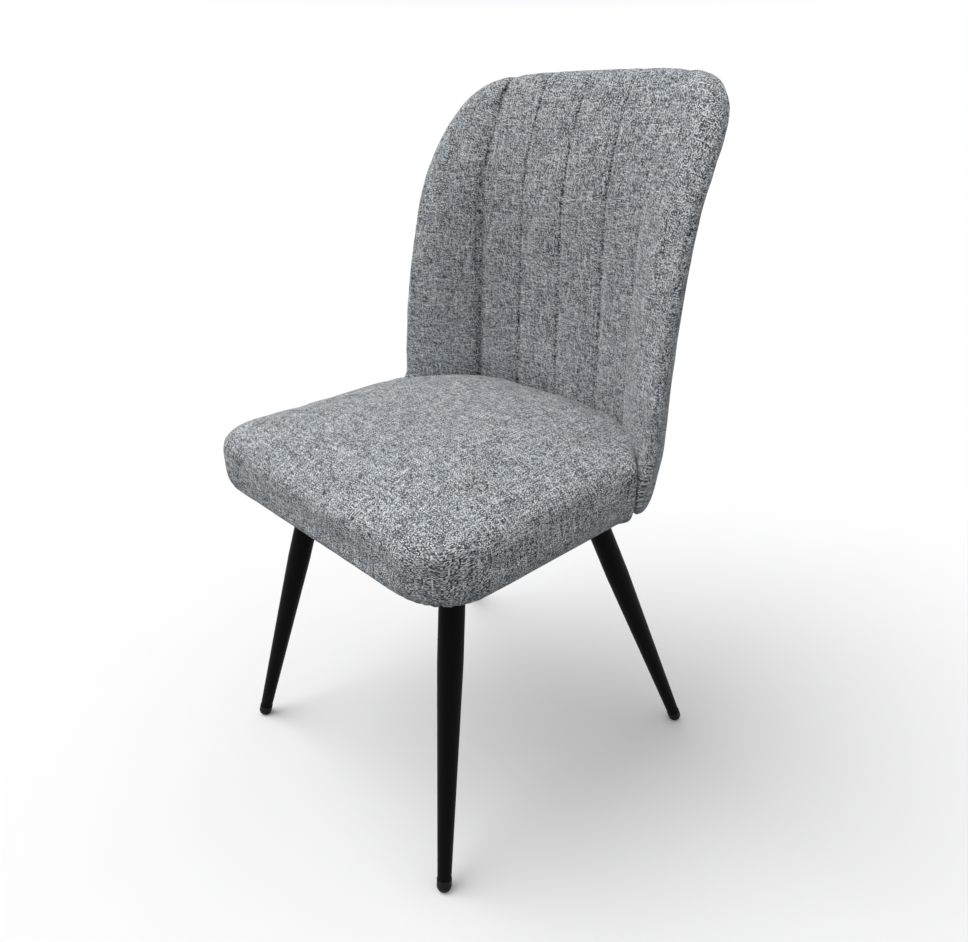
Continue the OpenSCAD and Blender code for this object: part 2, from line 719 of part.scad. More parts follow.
seat_board();
seat_t_nuts();
seat_foam();
seat_cover();
seat_dust_cloth();
seat_staples();
back_shell();
back_t_nuts();
back_front_foam();
back_rear_wadding();
back_front_cover();
back_rear_cover();
back_bracket_left();
back_bracket_right();
bracket_seat_screws();
bracket_back_screws();
leg_front_left();
leg_front_right();
leg_rear_left();
leg_rear_right();
leg_plate_front_left();
leg_plate_front_right();
leg_plate_rear_left();
leg_plate_rear_right();
leg_screws();
leg_washers();
foot_glide_front_left();
foot_glide_front_right();
foot_glide_rear_left();
foot_glide_rear_right();
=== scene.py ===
"""Looks of the upholstered dining chair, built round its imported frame. Metres, +Z up, the sitter faces -Y."""

import math

import bmesh
import bpy
import numpy as np
from mathutils import Matrix, Vector


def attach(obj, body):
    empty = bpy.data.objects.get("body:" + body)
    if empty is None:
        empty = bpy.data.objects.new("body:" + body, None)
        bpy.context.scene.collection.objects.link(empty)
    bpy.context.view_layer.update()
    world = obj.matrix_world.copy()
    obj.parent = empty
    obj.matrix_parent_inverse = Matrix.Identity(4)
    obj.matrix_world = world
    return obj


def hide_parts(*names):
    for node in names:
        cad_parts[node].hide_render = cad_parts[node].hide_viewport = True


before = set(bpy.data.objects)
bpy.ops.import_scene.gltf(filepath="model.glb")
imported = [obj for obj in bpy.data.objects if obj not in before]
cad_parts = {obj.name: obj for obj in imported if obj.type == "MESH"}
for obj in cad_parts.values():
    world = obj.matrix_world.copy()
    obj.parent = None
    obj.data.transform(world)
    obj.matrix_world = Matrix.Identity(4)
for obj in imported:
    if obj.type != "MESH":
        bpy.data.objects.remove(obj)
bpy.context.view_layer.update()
MM = 0.001

# ------------------------------------------------------------------ form of the back, as the CAD has it

BACK_Y = 192.0
HALF_T = 16.0
BACK_HALF_W = 237.0
NARROWING = 5.0
FLAT_HALF_W = 78.0
WING_DEPTH = 92.0
WING_FADE = 0.91
WING_POWER = 2.2
WING_GAIN = 13.0
GAIN_H = 55.0
BASE_Z = 405.4
LOW_R = 30.0
LOW_SIDE_R = 10.0
SEAM_BACK = 4.5
TOP_Z = 918.0
TOP_CROWN = 4.0
CORNER_Z = 739.0
CORNER_POWER = 5.0
LEAN = 0.002
LEAN_Z = 500.0
SWEEP = 0.0016
SWEEP_Z = 736.0
FADE_H = 420.0
REACH = BACK_HALF_W - 6.5 - FLAT_HALF_W
CORNER_H = TOP_Z - CORNER_Z
LOW_ROLL_H = 85.0
SEAM_LOW_SHIFT = 6.0


def eased(u):
    u = np.clip(u, 0, 1)
    return u * u * (3 - 2 * u)


def wing(z):
    fade = WING_FADE * (np.maximum(0, z - LEAN_Z) / FADE_H) ** WING_POWER
    return WING_DEPTH * (1 - fade) + WING_GAIN * eased((LEAN_Z - z) / GAIN_H)


def bend(z):
    w = wing(z)
    return 2 * w / (REACH * REACH + w * w)


def middle_y(x, z):
    h = np.maximum(0, np.abs(x) - FLAT_HALF_W)
    k = bend(z)
    centre = BACK_Y + LEAN * np.maximum(0, z - LEAN_Z) + SWEEP * np.maximum(0, z - SWEEP_Z) ** 2
    return centre - k * h * h / (1 + np.sqrt(np.maximum(0.01, 1 - k * k * h * h)))


def side_w(z):
    return BACK_HALF_W - NARROWING * np.maximum(0, z - LEAN_Z) / FADE_H


def half_w(z):
    up = np.clip((z - CORNER_Z) / CORNER_H, 0, 1)
    down = np.clip((BASE_Z + LOW_R - z) / LOW_R, 0, 1)
    return (side_w(z) * (1 - up**CORNER_POWER) ** (1 / CORNER_POWER)
            - LOW_SIDE_R * (1 - np.sqrt(1 - down * down)))


def top_z(x, z):
    share = np.maximum(0, 1 - (np.abs(x) / side_w(z)) ** CORNER_POWER)
    return CORNER_Z + CORNER_H * share ** (1 / CORNER_POWER)


def low_z(x):
    over = np.clip((np.abs(x) - BACK_HALF_W + LOW_SIDE_R) / LOW_SIDE_R, 0, 1)
    return BASE_Z + LOW_R * (1 - np.sqrt(1 - over * over))


def combined(a, b):
    a, b = np.maximum(1e-3, a), np.maximum(1e-3, b)
    return a * b / np.sqrt(a * a + b * b)


def side_d(x, z):
    return combined(half_w(z) - np.abs(x), top_z(x, z) - z)


def low_d(x, z):
    return z - low_z(x)


def edge_d(x, z):
    return combined(side_d(x, z), low_d(x, z))


def seam_h(z):
    u = np.clip((BASE_Z + LOW_ROLL_H - z) / LOW_ROLL_H, 0, 1)
    return -SEAM_BACK + SEAM_LOW_SHIFT * u * u


def roll(u):
    return np.sqrt(1 - (1 - np.clip(u, 0, 1)) ** 2)


def slopes(x, z):
    s = 0.5
    sideways = (middle_y(x + s, z) - middle_y(x - s, z)) / (2 * s)
    upwards = (middle_y(x, z + s) - middle_y(x, z - s)) / (2 * s)
    return sideways, upwards


def top_drop(x, z):
    up = np.clip((z - CORNER_Z) / CORNER_H, 0, 1)
    return TOP_CROWN * (x / BACK_HALF_W) ** 2 * up**2


def on_back(x, z, h):
    sx, sz = slopes(x, z)
    n = np.sqrt(1 + sx * sx + sz * sz)
    return np.stack([x + h * sx / n, middle_y(x, z) - h / n, z + h * sz / n - top_drop(x, z)], -1)


def off_back(p):
    """The place (x, z) on the back and the height over it of each point, the reverse of on_back."""
    x, z = p[:, 0].copy(), p[:, 2].copy()
    h = np.zeros(len(p))
    for _ in range(12):
        sx, sz = slopes(x, z)
        n = np.sqrt(1 + sx * sx + sz * sz)
        q = on_back(x, z, h)
        e = p - q
        h += (e[:, 0] * sx - e[:, 1] + e[:, 2] * sz) / n
        x += 0.8 * e[:, 0]
        z += 0.8 * e[:, 2]
    return x, z, h


def across(x, z):
    """Distance along the back's surface from its middle line."""
    k = bend(z)
    over = np.maximum(0, np.abs(x) - FLAT_HALF_W)
    arc = np.arcsin(np.clip(k * over, 0, 0.999)) / np.maximum(k, 1e-6)
    return np.sign(x) * (np.minimum(np.abs(x), FLAT_HALF_W) + arc)


# ------------------------------------------------------------------ form of the seat

SEAT_HALF_W = 246.0
SEAT_REAR_HALF_W = 240.0
SEAT_FRONT_Y = -255.0
CORNER_R = 68.0
SEAT_BASE_Z = 405.0
SEAT_EDGE_Z = 482.0
CROWN = 29.0
REAR_RISE = 17.0
TOP_R = 21.0
BOTTOM_R = 23.0
SEAT_MIDDLE_Y = -30.0
SHELL_R = float(1 / bend(np.float64(SEAT_BASE_Z)))
SHELL_Y = BACK_Y - SHELL_R
REAR_R = SHELL_R - HALF_T - 1.5
ROLL_START = math.asin((BACK_HALF_W - FLAT_HALF_W - HALF_T - SEAM_BACK) / SHELL_R)
RIM_SLANT = math.radians(52)
SIDE_TURN = 14.0
RISE_START_Z = 422.2


def arc_points(cx, cy, r, start, end, steps):
    a = np.radians(np.linspace(start, end, steps + 1))
    return np.stack([cx + r * np.cos(a), cy + r * np.sin(a)], 1)


def seat_outline(count):
    """Evenly spaced points round the seat, from the middle of the front, and their outward normals."""
    front = arc_points(SEAT_HALF_W - CORNER_R, SEAT_FRONT_Y + CORNER_R, CORNER_R, -90, 0, 24)
    rear = arc_points(FLAT_HALF_W, SHELL_Y, REAR_R, 90 - math.degrees(ROLL_START), 90, 24)
    slant = np.array([-math.cos(RIM_SLANT), math.sin(RIM_SLANT)])
    crossing_y = rear[0, 1] - (SEAT_REAR_HALF_W - rear[0, 0]) * math.tan(RIM_SLANT)
    crossing = np.array([SEAT_REAR_HALF_W, crossing_y])
    side_end = crossing - [0, SIDE_TURN]
    turn_end = crossing + slant * SIDE_TURN
    u = np.linspace(0, 1, 8)[1:, None]
    turn = (1 - u) ** 2 * side_end + 2 * u * (1 - u) * crossing + u * u * turn_end
    half = np.vstack([[[0, front[0, 1]]], front, [side_end], turn, rear, [[0, rear[-1, 1]]]])
    whole = np.vstack([half, half[-2:0:-1] * [-1, 1]])
    closed = np.vstack([whole, whole[:1]])
    length = np.r_[0, np.cumsum(np.linalg.norm(np.diff(closed, axis=0), axis=1))]
    s = np.linspace(0, length[-1], count, endpoint=False)
    p = np.stack([np.interp(s, length, closed[:, i]) for i in (0, 1)], 1)
    t = np.roll(p, -2, 0) - np.roll(p, 2, 0)
    t /= np.linalg.norm(t, axis=1)[:, None]
    return p, np.stack([t[:, 1], -t[:, 0]], 1)


def seat_rise(y, z):
    level = np.clip((z - RISE_START_Z) / (SEAT_EDGE_Z - RISE_START_Z), 0, 1)
    return REAR_RISE * level * (np.maximum(0, y - SEAT_FRONT_Y) / 430) ** 1.5


# ------------------------------------------------------------------ mesh helpers

def mesh_object(name, points, faces):
    mesh = bpy.data.meshes.new(name)
    mesh.from_pydata([tuple(p) for p in points * MM], [], faces)
    mesh.validate()
    o = bpy.data.objects.new(name, mesh)
    bpy.context.scene.collection.objects.link(o)
    return o


def stacked_rings(name, rings, closed_ends=True):
    """A skin over rings of equal length. Its first and last rings are filled."""
    rows, m = len(rings), len(rings[0])
    points = np.vstack(rings)
    a = (np.arange(rows - 1)[:, None] * m + np.arange(m)[None, :]).ravel()
    b = (np.arange(rows - 1)[:, None] * m + (np.arange(m)[None, :] + 1) % m).ravel()
    faces = [tuple(f) for f in np.stack([a, b, b + m, a + m], 1).tolist()]
    if closed_ends:
        faces += [tuple(range(m - 1, -1, -1)), tuple(range((rows - 1) * m, rows * m))]
    return mesh_object(name, points, faces)


def apply_modifiers(o):
    dg = bpy.context.evaluated_depsgraph_get()
    mesh = bpy.data.meshes.new_from_object(o.evaluated_get(dg))
    old = o.data
    o.modifiers.clear()
    o.data = mesh
    mesh.name = o.name
    bpy.data.meshes.remove(old)


def coordinates(o):
    co = np.zeros(len(o.data.vertices) * 3)
    o.data.vertices.foreach_get("co", co)
    return co.reshape(-1, 3) / MM


def set_coordinates(o, p):
    o.data.vertices.foreach_set("co", (p * MM).ravel())
    o.data.update()


def normals(o):
    n = np.zeros(len(o.data.vertices) * 3)
    o.data.vertices.foreach_get("normal", n)
    return n.reshape(-1, 3)


def even_out(o, size, rounds):
    """Replaces the mesh by an even one of small squares, and smooths the steps that this leaves."""
    m = o.modifiers.new("even", "REMESH")
    m.mode = "VOXEL"
    m.voxel_size = size
    s = o.modifiers.new("smooth", "SMOOTH")
    s.factor = 0.5
    s.iterations = rounds
    apply_modifiers(o)


def subdivide(o, levels=1):
    m = o.modifiers.new("subdivide", "SUBSURF")
    m.levels = m.render_levels = levels
    apply_modifiers(o)


def inflate(o, held, pressure, most, frames=20, stiffness=15.0):
    """Cloth under pressure. held is each point's pin weight. No point moves further than most (mm)."""
    group = o.vertex_groups.new(name="held")
    for level in np.unique(np.round(held, 1)):
        if level > 0:
            where = np.nonzero(np.round(held, 1) == level)[0].tolist()
            group.add(where, float(level), "REPLACE")
    start = coordinates(o)
    m = o.modifiers.new("cloth", "CLOTH")
    m.settings.quality = 5
    m.settings.mass = 0.25
    m.settings.tension_stiffness = m.settings.compression_stiffness = stiffness
    m.settings.shear_stiffness = 5.0
    m.settings.bending_stiffness = 0.6
    m.settings.use_pressure = True
    m.settings.uniform_pressure_force = pressure
    m.settings.effector_weights.gravity = 0
    m.settings.vertex_group_mass = group.name
    m.settings.pin_stiffness = 1.0
    m.collision_settings.use_collision = False
    m.collision_settings.use_self_collision = False
    m.point_cache.frame_start = 1
    m.point_cache.frame_end = frames
    for f in range(1, frames + 1):
        bpy.context.scene.frame_set(f)
    dg = bpy.context.evaluated_depsgraph_get()
    ev = o.evaluated_get(dg)
    co = np.zeros(len(ev.data.vertices) * 3)
    ev.data.vertices.foreach_get("co", co)
    moved = co.reshape(-1, 3) / MM - start
    length = np.linalg.norm(moved, axis=1)
    scale = most * np.tanh(length / most) / np.maximum(length, 1e-9)
    o.modifiers.clear()
    bpy.context.scene.frame_set(1)
    set_coordinates(o, start + moved * scale[:, None])
    o.vertex_groups.clear()
    print(f"{o.name}: cloth moved at most {length.max():.1f} mm, mean {length.mean():.2f} mm")


def wobble(p, wavelength, seed, terms=9):
    """Smooth uneven values between about -1 and 1."""
    rng = np.random.default_rng(seed)
    k = rng.normal(size=(terms, 3))
    k *= (2 * math.pi / wavelength) * rng.uniform(0.6, 1.4, (terms, 1)) / np.linalg.norm(k, axis=1)[:, None]
    phase = rng.uniform(0, 2 * math.pi, terms)
    return np.sin(p @ k.T + phase).sum(1) / math.sqrt(terms)


def smoothstep(a, b, v):
    t = np.clip((v - a) / (b - a), 0, 1)
    return t * t * (3 - 2 * t)


def cut_plane(o, at, normal, near=None):
    """Adds an edge line where a plane crosses the mesh, near a point if one is given as (x, y, z, radius)."""
    bm = bmesh.new()
    bm.from_mesh(o.data)
    faces = bm.faces
    if near is not None:
        c, r = Vector(near[:3]) * MM, near[3] * MM
        faces = [f for f in bm.faces if (f.calc_center_median() - c).length < r]
    geom = set(faces) | {e for f in faces for e in f.edges} | {v for f in faces for v in f.verts}
    bmesh.ops.bisect_plane(bm, geom=list(geom), dist=1e-6, plane_co=Vector(at) * MM, plane_no=Vector(normal))
    bm.to_mesh(o.data)
    bm.free()


def weave_map(o, uv_of_faces):
    """Stores a map in metres that lies along the threads. uv_of_faces gives it for face corners."""
    mesh = o.data
    layer = mesh.uv_layers.new(name="Threads")
    corner_vertex = np.zeros(len(mesh.loops), int)
    mesh.loops.foreach_get("vertex_index", corner_vertex)
    totals = np.zeros(len(mesh.polygons), int)
    mesh.polygons.foreach_get("loop_total", totals)
    centre = np.zeros(len(mesh.polygons) * 3)
    mesh.polygons.foreach_get("center", centre)
    corner_face = np.repeat(np.arange(len(totals)), totals)
    uv = uv_of_faces(coordinates(o), corner_vertex, centre.reshape(-1, 3) / MM, corner_face)
    layer.data.foreach_set("uv", (uv * MM).ravel())


def shade_smooth(o):
    o.data.polygons.foreach_set("use_smooth", [True] * len(o.data.polygons))
    o.data.update()


# ------------------------------------------------------------------ material helpers

class Nodes:
    """A material's node tree with short ways to add and join nodes."""

    def __init__(self, name):
        self.material = bpy.data.materials.new(name)
        self.material.use_nodes = True
        self.tree = self.material.node_tree
        self.tree.nodes.clear()
        self.shader = self.add("ShaderNodeBsdfPrincipled")
        out = self.add("ShaderNodeOutputMaterial")
        self.join(self.shader.outputs[0], out.inputs["Surface"])

    def add(self, kind, **values):
        node = self.tree.nodes.new(kind)
        for key, value in values.items():
            setattr(node, key, value)
        return node

    def join(self, a, b):
        self.tree.links.new(a, b)

    def put(self, socket, value):
        if isinstance(value, bpy.types.NodeSocket):
            self.join(value, socket)
        else:
            socket.default_value = value

    def math(self, operation, a, b=None, c=None):
        node = self.add("ShaderNodeMath", operation=operation)
        for i, v in enumerate((a, b, c)):
            if v is not None:
                self.put(node.inputs[i], v)
        return node.outputs[0]

    def point(self, x, y, z=0.0):
        node = self.add("ShaderNodeCombineXYZ")
        for i, v in enumerate((x, y, z)):
            self.put(node.inputs[i], v)
        return node.outputs[0]

    def noise(self, vector, scale=1.0, detail=2.0, roughness=0.5):
        node = self.add("ShaderNodeTexNoise")
        self.join(vector, node.inputs["Vector"])
        node.inputs["Scale"].default_value = scale
        node.inputs["Detail"].default_value = detail
        node.inputs["Roughness"].default_value = roughness
        return node.outputs[0]

    def span(self, value, a, b, low=0.0, high=1.0):
        node = self.add("ShaderNodeMapRange")
        self.join(value, node.inputs["Value"])
        for name, v in (("From Min", a), ("From Max", b), ("To Min", low), ("To Max", high)):
            node.inputs[name].default_value = v
        return node.outputs[0]

    def ramp(self, value, stops):
        node = self.add("ShaderNodeValToRGB")
        self.join(value, node.inputs[0])
        e = node.color_ramp.elements
        while len(e) < len(stops):
            e.new(0.5)
        for item, (at, colour) in zip(e, stops):
            item.position = at
            item.color = (*colour, 1)
        return node.outputs[0]

    def mix(self, share, a, b):
        node = self.add("ShaderNodeMix", data_type="RGBA")
        self.put(node.inputs[0], share)
        self.put(node.inputs[6], a)
        self.put(node.inputs[7], b)
        return node.outputs[2]

    def bump(self, height, strength, distance):
        node = self.add("ShaderNodeBump")
        node.inputs["Strength"].default_value = strength
        node.inputs["Distance"].default_value = distance
        self.join(height, node.inputs["Height"])
        self.join(node.outputs[0], self.shader.inputs["Normal"])

    def set(self, **values):
        for key, v in values.items():
            self.put(self.shader.inputs[key.replace("_", " ")], v)
        return self


THREAD = 0.00125


def melange_fabric():
    """Plain weave of light and dark yarns that change along their length, with thin slubs both ways."""
    n = Nodes("melange_fabric")
    uv = n.add("ShaderNodeUVMap", uv_map="Threads").outputs[0]
    wander = n.add("ShaderNodeTexNoise")
    n.join(uv, wander.inputs["Vector"])
    wander.inputs["Scale"].default_value = 25.0
    shift = n.add("ShaderNodeVectorMath", operation="MULTIPLY_ADD")
    n.join(wander.outputs[1], shift.inputs[0])
    shift.inputs[1].default_value = (0.0004, 0.0004, 0)
    n.join(uv, shift.inputs[2])
    parts = n.add("ShaderNodeSeparateXYZ")
    n.join(shift.outputs[0], parts.inputs[0])
    u = n.math("DIVIDE", parts.outputs[0], THREAD)
    v = n.math("DIVIDE", parts.outputs[1], THREAD)
    warp, weft = n.math("FLOOR", u), n.math("FLOOR", v)
    on_top = n.math("MODULO", n.math("ABSOLUTE", n.math("ADD", warp, weft)), 2.0)

    def yarn(along, number, seed):
        place = n.point(n.math("MULTIPLY", along, 0.19), n.math("MULTIPLY", number, 7.313), seed)
        return n.noise(place, 1.0, 2.0, 0.6)

    def slub(along, number, seed):
        place = n.point(n.math("MULTIPLY", along, 0.065), n.math("MULTIPLY", number, 5.77), seed)
        return n.span(n.noise(place, 1.0, 0.0, 0.5), 0.64, 0.70)

    def pick(share, a, b):
        node = n.add("ShaderNodeMix", data_type="FLOAT")
        n.join(share, node.inputs[0])
        n.join(a, node.inputs[2])
        n.join(b, node.inputs[3])
        return node.outputs[0]

    def speck(warp_step, weft_step):
        node = n.add("ShaderNodeTexWhiteNoise", noise_dimensions="3D")
        place = n.point(n.math("ADD", warp, warp_step), n.math("ADD", weft, weft_step), 1.5)
        n.join(place, node.inputs["Vector"])
        return node.outputs[0]

    # Each crossing differs from its neighbours, so that the cloth stays even from further away.
    beside = n.math("MULTIPLY", n.math("ADD", speck(1.0, 0.0), speck(0.0, 1.0)), 0.4)
    uneven = n.math("SUBTRACT", speck(0.0, 0.0), beside)
    fibre = n.noise(n.point(n.math("MULTIPLY", u, 3.1), n.math("MULTIPLY", v, 3.1), 4.4), 1.0, 2.0, 0.6)
    tone = pick(on_top, yarn(v, warp, 3.1), yarn(u, weft, 8.7))
    slubs = n.math("MAXIMUM", slub(v, warp, 21.5), slub(u, weft, 34.2))
    dark_slubs = n.math("MAXIMUM", slub(v, warp, 47.9), slub(u, weft, 58.6))
    broad = n.noise(uv, 28.0, 2.0, 0.5)
    value = n.math("MULTIPLY_ADD", n.math("SUBTRACT", uneven, 0.1), 0.68, 0.48)
    value = n.math("MULTIPLY_ADD", n.math("SUBTRACT", tone, 0.5), 2.1, value)
    value = n.math("MULTIPLY_ADD", n.math("SUBTRACT", fibre, 0.5), 0.3, value)
    value = n.math("MULTIPLY_ADD", slubs, 0.24, value)
    value = n.math("MULTIPLY_ADD", dark_slubs, -0.14, value)
    value = n.math("ADD", value, n.span(broad, 0.3, 0.7, -0.04, 0.04))
    # A yarn is round. Painted shade darkens it where it dips between its neighbours, standing in for the shadow
    # in the gaps of the weave.
    cu = n.math("ABSOLUTE", n.math("SUBTRACT", n.math("FRACT", u), 0.5))
    cv = n.math("ABSOLUTE", n.math("SUBTRACT", n.math("FRACT", v), 0.5))
    round_u = n.math("COSINE", n.math("MULTIPLY", cu, 2.9))
    round_v = n.math("COSINE", n.math("MULTIPLY", cv, 2.9))
    over = pick(on_top, round_u, round_v)
    along_yarn = n.math("MULTIPLY_ADD", pick(on_top, round_v, round_u), 0.45, 0.55)
    crossing = n.math("MULTIPLY", over, along_yarn)
    shade = n.span(crossing, 0.02, 0.6)
    colour = n.ramp(value, [
        (0.10, (0.028, 0.031, 0.036)), (0.30, (0.105, 0.116, 0.126)), (0.50, (0.300, 0.328, 0.352)),
        (0.70, (0.580, 0.625, 0.660)), (0.92, (0.850, 0.880, 0.900))])
    # Painted shade: up to 42% of the colour is swapped for near-black in the yarn dips, so the gaps between
    # threads look shadowed.
    colour = n.mix(n.math("MULTIPLY_ADD", shade, -0.42, 0.42), colour, (0.030, 0.033, 0.038, 1))
    height = n.math("MULTIPLY_ADD", value, 0.35, crossing)
    n.bump(height, 0.6, 0.0006)
    n.set(Base_Color=colour, Roughness=0.88, Sheen_Weight=0.12, Sheen_Roughness=0.45, Specular_IOR_Level=0.15)
    return n.material


def object_position(n):
    return n.add("ShaderNodeTexCoord").outputs["Object"]


def painted_steel():
    n = Nodes("black_steel")
    p = object_position(n)
    grain = n.noise(p, 1500.0, 2.0, 0.6)
    cloud = n.noise(p, 35.0, 3.0, 0.5)
    n.bump(grain, 0.22, 0.0002)
    n.set(Base_Color=n.mix(cloud, (0.0018, 0.0018, 0.0019, 1), (0.0034, 0.0033, 0.0035, 1)),
          Roughness=n.span(cloud, 0.3, 0.7, 0.42, 0.54), Specular_IOR_Level=0.05)
    return n.material


def black_plastic():
    n = Nodes("black_plastic")
    p = object_position(n)
    grain = n.noise(p, 2400.0, 2.0, 0.5)
    n.bump(grain, 0.3, 0.0001)
    n.set(Base_Color=n.mix(grain, (0.004, 0.004, 0.0042, 1), (0.009, 0.009, 0.0094, 1)),
          Roughness=n.span(n.noise(p, 90.0), 0.3, 0.7, 0.46, 0.6), Specular_IOR_Level=0.15)
    return n.material


def zinc():
    n = Nodes("zinc_steel")
    p = object_position(n)
    cloud = n.noise(p, 400.0, 3.0, 0.6)
    n.bump(cloud, 0.1, 0.0002)
    n.set(Base_Color=n.mix(cloud, (0.46, 0.47, 0.49, 1), (0.66, 0.67, 0.68, 1)),
          Roughness=n.span(cloud, 0.3, 0.7, 0.26, 0.42), Metallic=1.0)
    return n.material


def plywood():
    n = Nodes("plywood")
    parts = n.add("ShaderNodeSeparateXYZ")
    n.join(object_position(n), parts.inputs[0])
    x, y, z = parts.outputs
    place = n.point(n.math("MULTIPLY", x, 260.0), n.math("MULTIPLY", y, 14.0), n.math("MULTIPLY", z, 14.0))
    grain = n.noise(place, 1.0, 4.0, 0.6)
    plies = n.math("PINGPONG", n.math("ADD", y, z), 0.0013)
    colour = n.ramp(grain, [
        (0.3, (0.42, 0.27, 0.14)), (0.55, (0.58, 0.41, 0.23)), (0.75, (0.68, 0.50, 0.31))])
    n.bump(n.math("ADD", grain, n.math("MULTIPLY", plies, 200.0)), 0.2, 0.0003)
    n.set(Base_Color=colour, Roughness=n.span(grain, 0.3, 0.7, 0.5, 0.7))
    return n.material


def foam():
    n = Nodes("foam")
    p = object_position(n)
    cells = n.noise(p, 900.0, 2.0, 0.6)
    n.bump(cells, 0.6, 0.0006)
    n.set(Base_Color=n.mix(cells, (0.62, 0.55, 0.36, 1), (0.80, 0.74, 0.55, 1)), Roughness=0.95)
    return n.material


def dust_cloth():
    """Thin black spun-bond cloth: short fibres in all directions, pressed with fine dots."""
    n = Nodes("dust_cloth")
    p = object_position(n)
    fibres = n.noise(p, 1300.0, 4.0, 0.7)
    cell = n.add("ShaderNodeTexVoronoi")
    n.join(p, cell.inputs["Vector"])
    cell.inputs["Scale"].default_value = 620.0
    cell.inputs["Randomness"].default_value = 0.15
    n.bump(n.math("ADD", fibres, cell.outputs["Distance"]), 0.45, 0.0003)
    share = n.span(fibres, 0.35, 0.7)
    n.set(Base_Color=n.mix(share, (0.006, 0.006, 0.0065, 1), (0.028, 0.028, 0.030, 1)), Roughness=0.8)
    return n.material


def sewing_thread():
    n = Nodes("sewing_thread")
    p = object_position(n)
    twist = n.noise(p, 2200.0, 2.0, 0.6)
    n.bump(twist, 0.4, 0.0002)
    colour = n.mix(twist, (0.30, 0.33, 0.36, 1), (0.52, 0.55, 0.58, 1))
    n.set(Base_Color=colour, Roughness=0.7, Sheen_Weight=0.2)
    return n.material


FABRIC = melange_fabric()
STEEL = painted_steel()
PLASTIC = black_plastic()
ZINC = zinc()
WOOD = plywood()
FOAM = foam()
CLOTH = dust_cloth()
SEWING = sewing_thread()


def clothe(o, material):
    o.data.materials.clear()
    o.data.materials.append(material)


for name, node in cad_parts.items():
    if name.startswith("foot_glide"):
        clothe(node, PLASTIC)
    elif name.startswith(("leg_plate", "leg_front", "leg_rear", "back_bracket")):
        clothe(node, STEEL)
    elif name in ("seat_board", "back_shell"):
        clothe(node, WOOD)
    elif "foam" in name or "wadding" in name:
        clothe(node, FOAM)
    elif name == "seat_dust_cloth":
        clothe(node, CLOTH)
    elif "cover" in name:
        clothe(node, FABRIC)
    else:
        clothe(node, ZINC)

# ------------------------------------------------------------------ seat cushion

UNDER_Z = SEAT_BASE_Z + 0.8
# How much fuller the cushion is where it meets the wings, and how far it stands out elsewhere
REAR_FULL = 4.0
OUTWARD = 0.8
VOXEL = 0.005
SEAT_PRESSURE = 3.0
SEAT_MOST = 2.0
ring_xy, ring_n = seat_outline(300)


def seat_ring(inset, z):
    inset = np.full(len(ring_xy), float(inset))
    at_rear = smoothstep(0.12, 0.45, ring_n[:, 1]) * smoothstep(150, 205, np.abs(ring_xy[:, 0]))
    if z < SEAT_EDGE_Z - TOP_R - 5:
        inset = np.where(inset < 40, inset * (1 - 0.75 * at_rear), inset)
    xy = ring_xy - ring_n * (inset - REAR_FULL * at_rear * (1 - np.minimum(1, inset / 40)))[:, None]
    return np.column_stack([xy, z + seat_rise(xy[:, 1], z)])


def seat_crown_ring(share):
    edge = ring_xy - ring_n * TOP_R
    xy = np.array([0, SEAT_MIDDLE_Y]) + (edge - [0, SEAT_MIDDLE_Y]) * share
    z = SEAT_EDGE_Z + CROWN * (1 - share**3)
    return np.column_stack([xy, z + seat_rise(xy[:, 1], SEAT_EDGE_Z)])


